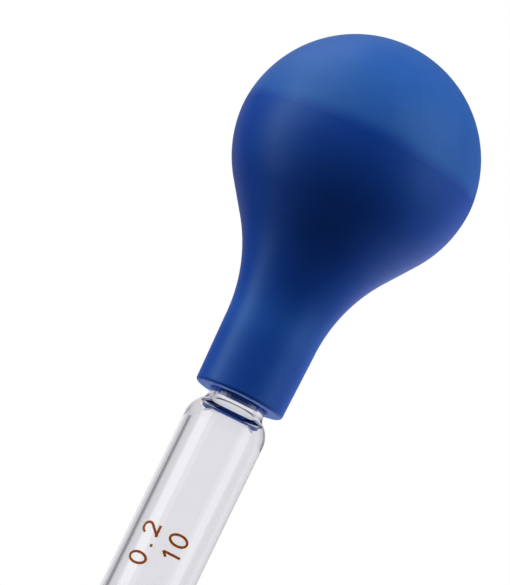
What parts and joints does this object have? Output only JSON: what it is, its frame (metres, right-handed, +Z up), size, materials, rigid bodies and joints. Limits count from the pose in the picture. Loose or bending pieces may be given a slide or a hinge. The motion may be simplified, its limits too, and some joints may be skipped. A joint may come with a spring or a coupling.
{
  "type": "pipette filler bulb",
  "caption": "Blue rubber filler bulb with a funnel and sleeve, pushed onto a clear graduated glass dropper tube; squeezing it draws up and releases liquid.",
  "frame": {"origin": "centre of the end of the glass tip, on the common axis", "axes": "+Z up along the tube towards the bulb, -Y out of the printed front, +X to the right of a viewer facing the print"},
  "size_m": [0.0384, 0.0384, 0.2483],
  "materials": {
    "glass": "clear, fire-polished ends",
    "enamel": "fired brown enamel",
    "rubber": "satin"
  },
  "bodies": {
    "tube": {"glass_tube": "glass", "scale_lines": "enamel", "scale_numbers": "enamel"},
    "bulb": {"bulb_sleeve": "rubber", "bulb_funnel": "rubber"},
    "dome": {"bulb_dome": "rubber"}
  },
  "joints": [
    {"name": "bulb_pull", "type": "slide", "parent": "tube", "child": "bulb", "axis": [0, 0, 1], "range_m": [0, 0.018]},
    {"name": "bulb_squeeze", "type": "slide", "parent": "bulb", "child": "dome", "axis": [0, 0, -1], "range_m": [0, 0.012], "stiffness_N_per_m": 600, "deforming": ["bulb_funnel"]}
  ]
}
